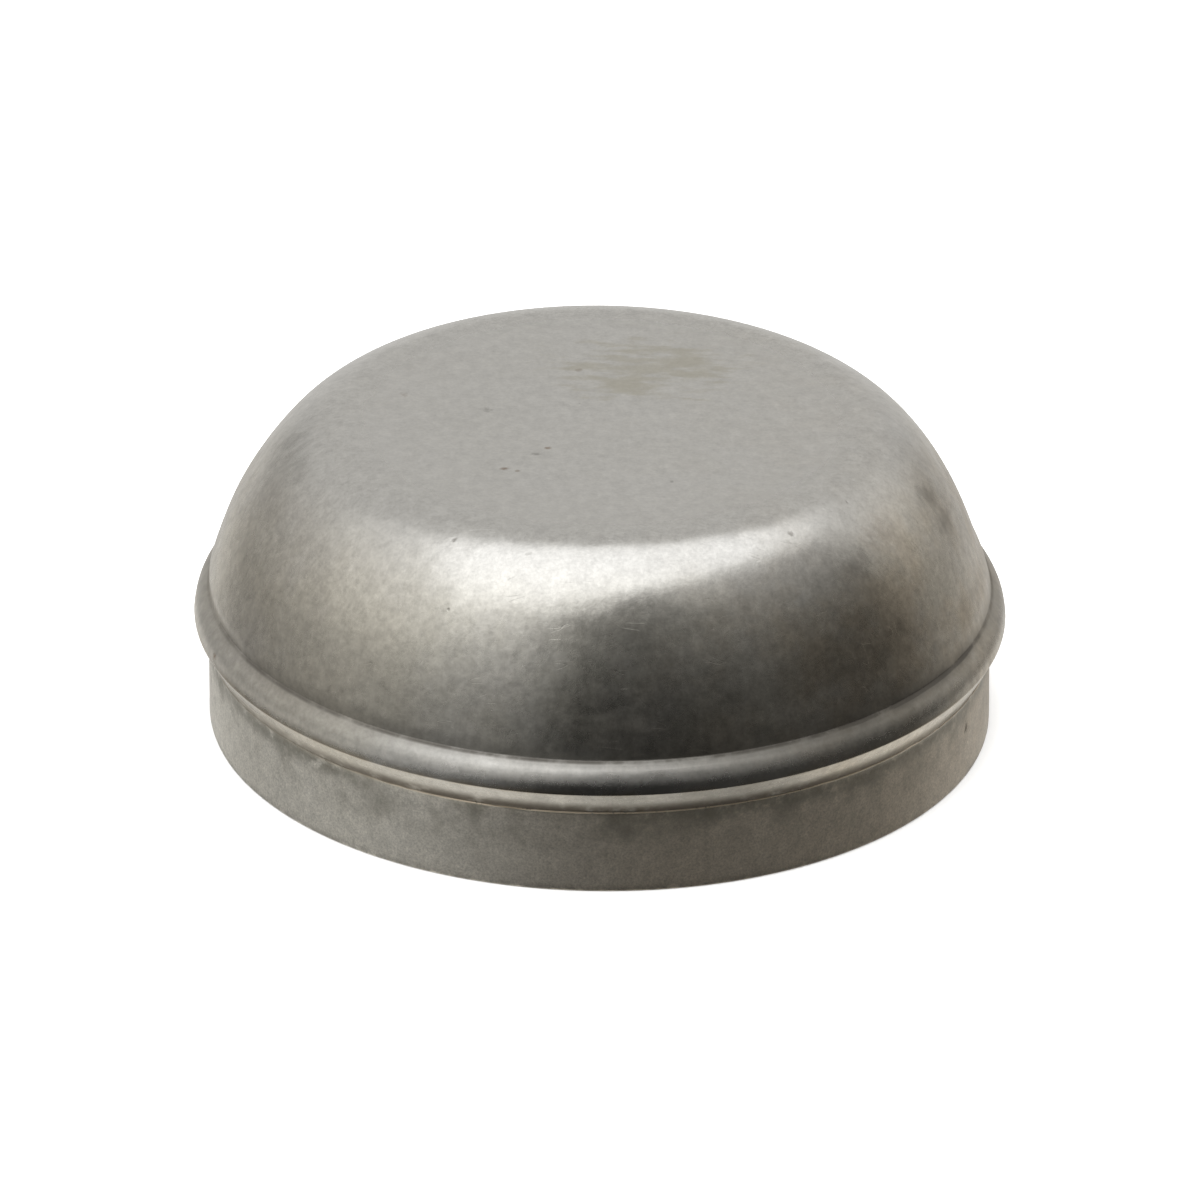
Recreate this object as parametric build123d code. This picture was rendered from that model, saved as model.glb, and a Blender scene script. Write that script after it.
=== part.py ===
from build123d import *
from math import asin, cos, degrees, radians, sin, tan
import os

# Hub grease cap: one piece, deep drawn from steel sheet and driven into the bore of a wheel hub.
# The origin is the middle of the open mouth, and +Z runs up the axis to the flat crown.

# Driving dimensions, lengths in millimetres and slopes in degrees from the axis
sheet = 1.2              # thickness of the steel
skirt_radius = 31.0      # outside of the press-fit skirt
skirt_height = 6.9       # straight skirt, from the mouth up to the root of the bead
mouth_break = 0.25       # broken edges of the trimmed mouth
bead_projection = 1.08   # how far the bead stands out past the skirt
seat_slope = 27.0        # underside of the bead, which stops on the hub's chamfer
bead_top_slope = 38.5    # upper face of the bead
wall_inset = 0.2         # foot of the wall, set in from the outside of the skirt
cap_height = 25.25       # flat crown above the mouth
shoulder_reach = 12.5    # half axis of the dome's elliptical section, across the cap
shoulder_drop = 27.0     # half axis of the same ellipse, down from the crown

# Slopes as angles for the formulas below
seat = radians(seat_slope)
top = radians(bead_top_slope)

# The bead is folded tight: sharp inside, and one thickness round at the nose outside.
nose_radius = sheet

# The two slopes of the bead would meet this far past its rounded nose.
nose_excess = nose_radius * ((sin(seat) + sin(top)) / sin(seat + top) - 1)
seat_reach = bead_projection + nose_excess
top_reach = seat_reach + wall_inset

# Heights of that meeting point, of the foot of the wall and of the ellipse's centre
nose_height = skirt_height + seat_reach / tan(seat)
foot_height = nose_height + top_reach / tan(top)
centre_height = cap_height - shoulder_drop

# The ellipse passes through the foot of the wall and is level at the edge of the flat crown.
foot_rise = asin((foot_height - centre_height) / shoulder_drop)
crown_radius = skirt_radius - wall_inset - shoulder_reach * cos(foot_rise)


def skirt_and_bead(depth):
    """Half section of the skirt and bead, filled in to the axis, with its outside moved in by a depth."""
    root = (skirt_radius - depth, skirt_height + depth * tan(seat / 2))
    shift = depth / sin(seat + top)
    nose_x = skirt_radius + seat_reach - shift * (sin(seat) + sin(top))
    nose_y = nose_height - shift * (cos(seat) - cos(top))
    # The upper slope runs on past the foot of the wall, into the dome, by one thickness.
    run = top_reach / sin(top) + sheet
    inner = (nose_x - run * sin(top), nose_y + run * cos(top))
    rim = (skirt_radius - depth, 0)
    return make_face(Polyline((0, 0), rim, root, (nose_x, nose_y), inner, (0, inner[1]), close=True))


def dome(depth):
    """Half section of the dome and crown, filled in to the axis, with its outside moved in by a depth."""
    reach = shoulder_reach - depth
    drop = shoulder_drop - depth
    rise = degrees(asin((nose_height - centre_height) / drop))
    shoulder = EllipticalCenterArc((crown_radius, centre_height), reach, drop, rise, arc_size=90 - rise)
    crown_middle = (0, cap_height - depth)
    rest = Polyline(shoulder @ 1, crown_middle, (0, nose_height), shoulder @ 0)
    return make_face(shoulder.edges() + rest.edges())


def grease_cap():
    """The whole cap: the filled section less the one a thickness smaller, turned about the axis."""
    section = skirt_and_bead(0) + dome(0) - skirt_and_bead(sheet) - dome(sheet)
    section = fillet(section.vertices().sort_by(Axis.X)[-1], nose_radius)
    section = chamfer(section.vertices().group_by(Axis.Y)[0], mouth_break)
    return revolve(Plane.XZ * section, Axis.Z)


os.makedirs("parts", exist_ok=True)
export_step(grease_cap(), "parts/grease_cap.step")
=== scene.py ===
"""Looks of a hub grease cap: its drawn steel shell, the finishes on it, the table, the light and the camera."""

import logging
import math
from dataclasses import dataclass
from enum import Enum

import bpy
import numpy as np
from mathutils import Matrix, Vector


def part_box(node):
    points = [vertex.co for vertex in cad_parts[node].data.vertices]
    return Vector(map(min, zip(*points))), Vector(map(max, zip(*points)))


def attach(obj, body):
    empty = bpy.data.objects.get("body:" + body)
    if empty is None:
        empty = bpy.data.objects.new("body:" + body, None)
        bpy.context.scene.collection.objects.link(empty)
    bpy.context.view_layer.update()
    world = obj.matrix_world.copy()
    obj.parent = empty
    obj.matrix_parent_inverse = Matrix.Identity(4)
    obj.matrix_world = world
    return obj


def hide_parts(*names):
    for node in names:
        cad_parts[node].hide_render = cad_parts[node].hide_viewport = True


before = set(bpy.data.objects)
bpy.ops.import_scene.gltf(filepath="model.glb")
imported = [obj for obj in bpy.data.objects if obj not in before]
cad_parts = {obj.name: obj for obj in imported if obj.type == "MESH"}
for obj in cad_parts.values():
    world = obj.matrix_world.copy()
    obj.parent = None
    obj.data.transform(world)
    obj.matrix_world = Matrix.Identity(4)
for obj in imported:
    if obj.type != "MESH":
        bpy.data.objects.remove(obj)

log = logging.getLogger("grease_cap")

MM = 0.001
NODE = "grease_cap"


class Zone(Enum):
    """Stretches of the cap's section, in order from the middle of the crown to the middle of the inside."""
    CROWN = 0
    DOME = 1
    CREASE = 2
    BEAD_TOP = 3
    NOSE = 4
    SEAT = 5
    ROOT = 6
    SKIRT = 7
    MOUTH = 8
    INSIDE = 9


class Mark(Enum):
    """Kinds of blemish on the steel; one dark kind also carries painted dark reflections."""
    RUST = "rust"
    DIRT_AND_DARK_REFLECTION = "dirt"
    OIL = "oil"
    PIT = "pit"
    RUB = "rub"


# Shapes

def smooth(low: float, high: float, value: np.ndarray) -> np.ndarray:
    """Rises from 0 at low to 1 at high along a cubic with level ends."""
    share = np.clip((value - low) / (high - low), 0.0, 1.0)
    return share * share * (3.0 - 2.0 * share)


def straight(start: np.ndarray, end: np.ndarray, count: int) -> np.ndarray:
    """Points along a straight run, its end left out.

    Args:
        start: first point, radius and height.
        end: point that the run stops short of.
        count: number of points.

    Returns:
        Array of count points.
    """
    share = np.arange(count)[:, None] / count
    return start + (end - start) * share


def round_corner(before: np.ndarray, corner: np.ndarray, after: np.ndarray, radius: float,
                 count: int, crowd: float = 0.0) -> np.ndarray:
    """Arc that touches both sides of a corner: its centre lies on the bisector, radius over sine away.

    Args:
        before: a point on the side that comes in.
        corner: where the two sides would meet.
        after: a point on the side that goes out.
        radius: radius of the arc.
        count: number of points.
        crowd: 0 for even steps, more to crowd the points round the middle of the arc.

    Returns:
        Points of the arc, both ends included.
    """
    side_in = (before - corner) / np.linalg.norm(before - corner)
    side_out = (after - corner) / np.linalg.norm(after - corner)
    half = 0.5 * math.acos(float(np.clip(side_in @ side_out, -1.0, 1.0)))
    middle = (side_in + side_out) / np.linalg.norm(side_in + side_out)
    centre = corner + middle * radius / math.sin(half)
    first = corner + side_in * radius / math.tan(half) - centre
    last = corner + side_out * radius / math.tan(half) - centre
    angle = math.atan2(first[1], first[0])
    turn = math.atan2(first[0] * last[1] - first[1] * last[0], float(first @ last))
    step = np.linspace(-1.0, 1.0, count)
    angles = angle + turn * (0.5 + 0.5 * step * np.abs(step) ** crowd)
    return centre + radius * np.stack([np.cos(angles), np.sin(angles)], axis=1)


def wave_round(angle: np.ndarray, knots: int, seed: int) -> np.ndarray:
    """Random wave round the cap: even knots with random heights, joined by cosine easing.

    Args:
        angle: angles round the axis, in radians.
        knots: number of knots in a full turn.
        seed: seed of the random heights.

    Returns:
        Heights from 0 to 1, one for each angle.
    """
    heights = np.random.default_rng(seed).random(knots)
    place = np.mod(angle / (2.0 * np.pi), 1.0) * knots
    index = np.floor(place).astype(int) % knots
    ease = 0.5 - 0.5 * np.cos(np.pi * (place - np.floor(place)))
    return heights[index] * (1.0 - ease) + heights[(index + 1) % knots] * ease


@dataclass
class GreaseCap:
    """The drawn steel shell. Lengths are in millimetres and slopes in degrees from the axis."""
    bead_radius: float
    cap_height: float
    sheet: float = 1.2
    skirt_radius: float = 30.92
    skirt_height: float = 6.9
    seat_slope: float = 30.2
    nose_slope: float = 9.0
    bead_top_slope: float = 42.0
    wall_inset: float = 0.09
    foot_height: float = 11.26
    shoulder_reach: float = 12.5
    shoulder_drop: float = 27.0
    nose_radius: float = 2.7
    nose_edge_radius: float = 0.25
    crease_radius: float = 0.22
    root_radius: float = 2.4
    mouth_radius: float = 0.22
    fold_radius: float = 0.5
    bend_radius: float = 0.9
    bead_swell: float = 0.004
    burr_height: float = 0.07
    burr_width: float = 0.045
    wall_ripple: float = 0.035
    skirt_ripple: float = 0.03
    left_bulge: float = 0.24
    right_dip: float = 0.18
    nose_lift: float = 0.12
    skirt_flare: float = 0.1
    crown_sag: float = 0.03
    around: int = 384

    def __post_init__(self) -> None:
        """Works out the corners of the section from the sizes."""
        seat = math.radians(self.seat_slope)
        top = math.radians(self.bead_top_slope)
        self.seat_angle = seat
        self.top_angle = top
        self.root = np.array([self.skirt_radius, self.skirt_height])
        self.foot = np.array([self.skirt_radius - self.wall_inset, self.foot_height])
        rise = (self.bead_radius - self.skirt_radius) / math.tan(seat)
        self.nose_low = np.array([self.bead_radius, self.skirt_height + rise])
        self.nose_high = self.meet(self.nose_low, -math.radians(self.nose_slope), self.foot, -top)
        self.fold_point = self.meet(self.root, seat, self.foot, -top)
        self.centre_height = self.cap_height - self.shoulder_drop
        self.foot_rise = math.asin((self.foot_height - self.centre_height) / self.shoulder_drop)
        self.crown_radius = self.foot[0] - self.shoulder_reach * math.cos(self.foot_rise)

    @staticmethod
    def meet(first: np.ndarray, first_lean: float, second: np.ndarray, second_lean: float) -> np.ndarray:
        """Point where two lines of the section meet.

        Args:
            first: point on the first line.
            first_lean: angle of the first line outwards from the axis, in radians.
            second: point on the second line.
            second_lean: angle of the second line outwards from the axis, in radians.

        Returns:
            Radius and height of the meeting point.
        """
        lean, other = math.tan(first_lean), math.tan(second_lean)
        height = (second[0] - first[0] + first[1] * lean - second[1] * other) / (lean - other)
        return np.array([first[0] + (height - first[1]) * lean, height])

    def dome_line(self, depth: float, low: float, count: int) -> np.ndarray:
        """Quarter of an ellipse from the edge of the crown down to a height, moved in by a depth.

        Args:
            depth: distance in from the outside.
            low: height where the line stops.
            count: number of points.

        Returns:
            Points from the crown downwards, both ends included.
        """
        reach = self.shoulder_reach - depth
        drop = self.shoulder_drop - depth
        rise = math.asin((low - self.centre_height) / drop)
        angles = np.linspace(0.5 * math.pi, rise, count)
        return np.stack([self.crown_radius + reach * np.cos(angles),
                         self.centre_height + drop * np.sin(angles)], axis=1)

    def outside(self) -> list[tuple[Zone, np.ndarray]]:
        """Section of the outside, from the crown to the mouth.

        Returns:
            Zone and points of each stretch, in order.
        """
        rim = np.array([self.skirt_radius, 0.0])
        rim_inside = np.array([self.skirt_radius - self.sheet, 0.0])
        crown_edge = np.array([self.crown_radius, self.cap_height])
        crown_first = np.array([0.6, self.cap_height])
        lift = 0.12
        dome = self.dome_line(0.0, self.foot_height + lift, 74)
        crease = round_corner(dome[-1], self.foot, self.nose_high, self.crease_radius, 7)
        nose_arc = np.concatenate([
            round_corner(self.foot, self.nose_high, self.nose_low, self.nose_radius, 13),
            round_corner(self.nose_high, self.nose_low, self.root, self.nose_edge_radius, 7)])
        root_arc = round_corner(self.nose_low, self.root, rim, self.root_radius, 21, 1.2)
        rim_arc = round_corner(self.root, rim, rim_inside, self.mouth_radius, 5)
        rim_arc_inside = round_corner(rim, rim_inside, rim_inside + np.array([0.0, 1.0]),
                                      self.mouth_radius, 5)
        return [
            (Zone.CROWN, straight(crown_first, crown_edge, 24)),
            (Zone.DOME, dome),
            (Zone.CREASE, crease),
            (Zone.BEAD_TOP, straight(crease[-1], nose_arc[0], 9)[1:]),
            (Zone.NOSE, nose_arc),
            (Zone.SEAT, straight(nose_arc[-1], root_arc[0], 7)[1:]),
            (Zone.ROOT, root_arc),
            (Zone.SKIRT, straight(root_arc[-1], rim_arc[0], 15)[1:]),
            (Zone.MOUTH, np.concatenate([rim_arc, rim_arc_inside])),
        ]

    def inside(self) -> list[tuple[Zone, np.ndarray]]:
        """Section of the inside, from the mouth up to the crown, one thickness in from the outside.

        Returns:
            Zone and points of each stretch, in order.
        """
        depth = self.sheet
        shift = depth / math.sin(self.seat_angle + self.top_angle)
        fold = self.fold_point - shift * np.array([
            math.sin(self.seat_angle) + math.sin(self.top_angle),
            math.cos(self.seat_angle) - math.cos(self.top_angle)])
        root = np.array([self.skirt_radius - depth,
                         self.skirt_height + depth * math.tan(0.5 * self.seat_angle)])
        rim = np.array([self.skirt_radius - depth, 2.0 * self.mouth_radius])
        upward = np.array([-math.sin(self.top_angle), math.cos(self.top_angle)])
        run = np.linspace(0.0, 4.0, 801)
        slope = fold + upward * run[:, None]
        reach = self.shoulder_reach - depth
        drop = self.shoulder_drop - depth
        level = ((slope[:, 0] - self.crown_radius) / reach) ** 2
        level += ((slope[:, 1] - self.centre_height) / drop) ** 2
        crease = slope[int(np.argmin(np.abs(level - 1.0)))]
        dome = self.dome_line(depth, crease[1] + 0.45, 30)[::-1]
        crown_edge = np.array([self.crown_radius, self.cap_height - depth])
        crown_last = np.array([0.6, self.cap_height - depth])
        root_arc = round_corner(rim, root, fold, self.bend_radius, 6)
        fold_arc = round_corner(root, fold, crease, self.fold_radius, 5)
        crease_arc = round_corner(fold, crease, dome[0], self.bend_radius, 6)
        return [
            (Zone.INSIDE, straight(rim, root_arc[0], 6)),
            (Zone.INSIDE, root_arc),
            (Zone.INSIDE, straight(root_arc[-1], fold_arc[0], 4)[1:]),
            (Zone.INSIDE, fold_arc),
            (Zone.INSIDE, crease_arc),
            (Zone.INSIDE, dome),
            (Zone.INSIDE, np.concatenate([straight(crown_edge, crown_last, 9)[1:], crown_last[None]])),
        ]

    def uneven(self, angle: np.ndarray, line: np.ndarray, zones: np.ndarray) -> np.ndarray:
        """Small departures of the real sheet from a true round.

        The wall and the skirt waver outwards and inwards with random waves round the axis. The dome is out
        of true: low down it bulges to the left and higher up it dips in at the right, each as a power of
        the cosine of the angle. The nose lies a little higher at the front right, and the rim of the skirt
        flares at the right. A broken burr stands out below the root of the bead. The crown sags a little
        towards its middle, and the upper face of the bead swells along a cubic that is level where the
        nose begins.

        Args:
            angle: angles round the axis.
            line: points of the section.
            zones: zone number of each point.

        Returns:
            Array of shape (points, angles, 2): change of radius and of height.
        """
        radius = line[:, 0][:, None]
        height = line[:, 1][:, None]
        zone = zones[:, None]
        inner = zone == Zone.INSIDE.value
        change = np.zeros((len(line), len(angle), 2))
        wall = smooth(self.foot_height, self.foot_height + 3.0, height)
        wall = wall * (1.0 - smooth(self.cap_height - 5.0, self.cap_height - 0.8, height))
        drawn = 0.88 * wave_round(angle, 23, 5) + 0.12 * wave_round(angle, 61, 9) - 1.0
        change[:, :, 0] += self.wall_ripple * wall * drawn * ~inner
        low = smooth(self.foot_height - 0.1, self.foot_height + 1.0, height) * (1.0 - smooth(16.0, 21.5, height))
        change[:, :, 0] += self.left_bulge * low * np.maximum(-np.cos(angle), 0.0) ** 1.5 * ~inner
        high = smooth(12.4, 14.6, height) * (1.0 - smooth(24.2, self.cap_height, height))
        change[:, :, 0] -= self.right_dip * high * np.maximum(np.cos(angle), 0.0) ** 1.5 * ~inner
        skirt = 1.0 - smooth(0.0, self.skirt_height, height)
        bowed = 0.75 * wave_round(angle, 9, 14) + 0.25 * wave_round(angle, 37, 3) - 1.0
        change[:, :, 0] += self.skirt_ripple * skirt * bowed
        rim = 1.0 - smooth(0.5, 5.0, height)
        change[:, :, 0] += self.skirt_flare * rim * np.maximum(np.cos(angle), 0.0) ** 3
        nose_low = self.nose_low[1]
        lifted = smooth(self.skirt_height + 0.6, nose_low, height)
        lifted = lifted * (1.0 - smooth(nose_low + 0.4, self.foot_height - 0.3, height))
        change[:, :, 1] += self.nose_lift * lifted * np.maximum(np.cos(angle + 0.6), 0.0) * ~inner
        root = zone == Zone.ROOT.value
        burr_place = np.median(line[zones == Zone.ROOT.value, 1]) + 0.04 * (wave_round(angle, 47, 31) - 0.5)
        ridge = np.exp(-((height - burr_place) / self.burr_width) ** 2)
        broken = smooth(0.1, 0.3, wave_round(angle, 190, 8)) * (0.55 + 0.45 * wave_round(angle, 29, 12))
        change[:, :, 0] += self.burr_height * ridge * broken * root
        crown = 1.0 - smooth(0.0, self.crown_radius, radius)
        tilt = 0.5 + 0.5 * np.cos(angle - 0.9) * radius / self.crown_radius
        level = (zone == Zone.CROWN.value) * crown
        change[:, :, 1] -= self.crown_sag * level * (0.6 + 0.4 * tilt)
        face = height[zone == Zone.BEAD_TOP.value]
        run = (face.max() - height) / (face.max() - face.min())
        swell = 6.75 * run * (1.0 - run) ** 2 * (zone == Zone.BEAD_TOP.value)
        change[:, :, 0] += self.bead_swell * swell * math.cos(self.top_angle)
        change[:, :, 1] += self.bead_swell * swell * math.sin(self.top_angle)
        return change

    def build(self) -> bpy.types.Object:
        """Carries the section round the axis on a grid of points and angles, and closes both middles.

        Returns:
            The shell as one closed mesh at the origin.
        """
        stretches = self.outside() + self.inside()
        line = np.concatenate([points for _, points in stretches])
        zones = np.concatenate([np.full(len(points), zone.value) for zone, points in stretches])
        angle = np.linspace(0.0, 2.0 * np.pi, self.around, endpoint=False)
        change = self.uneven(angle, line, zones)
        radius = line[:, 0][:, None] + change[:, :, 0]
        height = line[:, 1][:, None] + change[:, :, 1]
        ring = np.stack([radius * np.cos(angle), radius * np.sin(angle), height], axis=2)
        tops = np.array([[0.0, 0.0, height[0].mean()], [0.0, 0.0, height[-1].mean()]])
        points = np.concatenate([ring.reshape(-1, 3), tops]) * MM
        mesh = self.mesh_of(points, line, zones)
        piece = bpy.data.objects.new("cap_shell", mesh)
        bpy.context.scene.collection.objects.link(piece)
        return piece

    def mesh_of(self, points: np.ndarray, line: np.ndarray, zones: np.ndarray) -> bpy.types.Mesh:
        """Joins the grid with four-sided faces and each middle with a fan of triangles.

        Args:
            points: grid points ring by ring, then the two middles.
            line: points of the section, for the map of the surface.
            zones: zone number of each point of the section.

        Returns:
            The mesh, with its surface map, its masks and its two material slots set.
        """
        rows = len(line)
        around = self.around
        row = np.arange(rows - 1)[:, None]
        column = np.arange(around)[None, :]
        following = (column + 1) % around
        quads = np.stack(np.broadcast_arrays(
            row * around + column, (row + 1) * around + column,
            (row + 1) * around + following, row * around + following), axis=2).reshape(-1, 4)
        top, bottom = rows * around, rows * around + 1
        last = (rows - 1) * around
        column = column[0]
        following = following[0]
        fan_top = np.stack([np.full(around, top), column, following], axis=1)
        fan_bottom = np.stack([np.full(around, bottom), last + following, last + column], axis=1)
        corners = np.concatenate([quads.ravel(), fan_top.ravel(), fan_bottom.ravel()])
        sizes = np.concatenate([np.full(len(quads), 4), np.full(2 * around, 3)])
        mesh = bpy.data.meshes.new("cap_shell")
        mesh.vertices.add(len(points))
        mesh.vertices.foreach_set("co", points.ravel())
        mesh.loops.add(len(corners))
        mesh.loops.foreach_set("vertex_index", corners)
        mesh.polygons.add(len(sizes))
        mesh.polygons.foreach_set("loop_start", np.cumsum(sizes) - sizes)
        inner = np.repeat(zones[1:] == Zone.INSIDE.value, around)
        slots = np.concatenate([inner, np.zeros(around, bool), np.ones(around, bool)]).astype(np.int32)
        mesh.polygons.foreach_set("material_index", slots)
        mesh.polygons.foreach_set("use_smooth", np.ones(len(sizes), bool))
        self.map_surface(mesh, corners, line)
        self.mask_surface(mesh, line, zones)
        mesh.update(calc_edges=True)
        mesh.validate()
        return mesh

    def map_surface(self, mesh: bpy.types.Mesh, corners: np.ndarray, line: np.ndarray) -> None:
        """Lays a map on the surface: the angle round the axis across, and the length along the section up.

        Args:
            mesh: mesh that gets the map.
            corners: vertex of each face corner.
            line: points of the section.
        """
        around = self.around
        steps = np.linalg.norm(np.diff(line, axis=0), axis=1)
        along = np.concatenate([[0.0], np.cumsum(steps)])
        along = along / along[-1]
        grid = len(line) * around
        across = np.append(np.tile(np.arange(around) / around, len(line)), [0.5, 0.5])
        up = np.append(np.repeat(along, around), [0.0, 1.0])
        place = np.stack([across[corners], up[corners]], axis=1)
        quads = (len(line) - 1) * around
        split = place[:4 * quads].reshape(-1, 4, 2)
        wrapped = (split[:, :, 0].max(axis=1) - split[:, :, 0].min(axis=1)) > 0.5
        split[wrapped, 2:, 0] = 1.0
        fans = place[4 * quads:].reshape(-1, 3, 2)
        wrapped = (fans[:, 1:, 0].max(axis=1) - fans[:, 1:, 0].min(axis=1)) > 0.5
        fans[:, 1:, 0] = np.where(wrapped[:, None] & (fans[:, 1:, 0] < 0.5), 1.0, fans[:, 1:, 0])
        assert grid + 2 == len(across)
        layer = mesh.uv_layers.new(name="surface")
        layer.data.foreach_set("uv", place.ravel())

    def mask_surface(self, mesh: bpy.types.Mesh, line: np.ndarray, zones: np.ndarray) -> None:
        """Writes masks from 0 to 1 that say where along the section a point lies.

        Args:
            mesh: mesh that gets the masks.
            line: points of the section.
            zones: zone number of each point.
        """
        radius, height = line[:, 0], line[:, 1]
        outer = zones != Zone.INSIDE.value
        foot = np.hypot(radius - self.foot[0] - 0.09, height - self.foot[1] + 0.1)
        nose_low = self.nose_low[1]
        root_film = smooth(self.skirt_height + 1.25, self.skirt_height + 0.2, height)
        masks = {
            "crown": 1.0 - smooth(self.crown_radius - 1.0, self.crown_radius + 0.6, radius),
            "clean": 1.0 - smooth(self.crown_radius + 3.0, self.crown_radius + 9.0, radius),
            "wall": smooth(self.foot_height - 0.2, self.foot_height, height)
            * (1.0 - smooth(self.cap_height - 4.0, self.cap_height - 0.5, height)),
            "skirt": 1.0 - smooth(self.skirt_height - 0.35, self.skirt_height - 0.05, height),
            "bead": smooth(self.skirt_height, self.skirt_height + 0.2, height)
            * (1.0 - smooth(self.foot_height - 0.1, self.foot_height + 0.1, height)),
            "bead_face": smooth(nose_low + 0.1, nose_low + 0.9, height)
            * (1.0 - smooth(self.foot_height - 0.1, self.foot_height + 0.1, height)),
            "bead_top": smooth(nose_low + 0.5, nose_low + 1.2, height)
            * (1.0 - smooth(self.foot_height - 0.1, self.foot_height + 0.1, height)),
            # The crease mask has a narrow core and a wide faint tail; its colour paints grime together with
            # contact shade between wall and bead.
            "crease": np.maximum(np.exp(-(foot / 0.24) ** 2), 0.42 * np.exp(-(foot / 0.8) ** 2)),
            "nose_edge": np.exp(-((height - nose_low - 0.06) / 0.14) ** 2),
            "root": root_film * smooth(self.skirt_height - 0.12, self.skirt_height + 0.06, height),
            "burr": np.exp(-((height - np.median(height[zones == Zone.ROOT.value])) / 0.075) ** 2),
            "shoulder": smooth(self.crown_radius - 2.0, self.crown_radius - 0.5, radius)
            * (1.0 - smooth(self.crown_radius + 5.0, self.crown_radius + 9.0, radius)),
            "below_root": smooth(1.5, self.skirt_height, height)
            * (1.0 - smooth(self.skirt_height - 0.1, self.skirt_height + 0.3, height)),
            "under_lip": smooth(5.0, 6.4, height)
            * (1.0 - smooth(self.skirt_height - 0.1, self.skirt_height + 0.1, height)),
            "mouth": 1.0 - smooth(0.1, 0.4, height),
        }
        for name, values in masks.items():
            values = values * outer
            values = np.append(np.repeat(values, self.around), [values[0], values[-1]])
            layer = mesh.attributes.new(name, "FLOAT", "POINT")
            layer.data.foreach_set("value", values.astype(np.float32))

    def dress(self, piece: bpy.types.Object, outer: bpy.types.Material, inner: bpy.types.Material) -> None:
        """Gives the shell its two finishes, the first for the outside and the second for the inside."""
        piece.data.materials.append(outer)
        piece.data.materials.append(inner)


# Finishes

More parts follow.
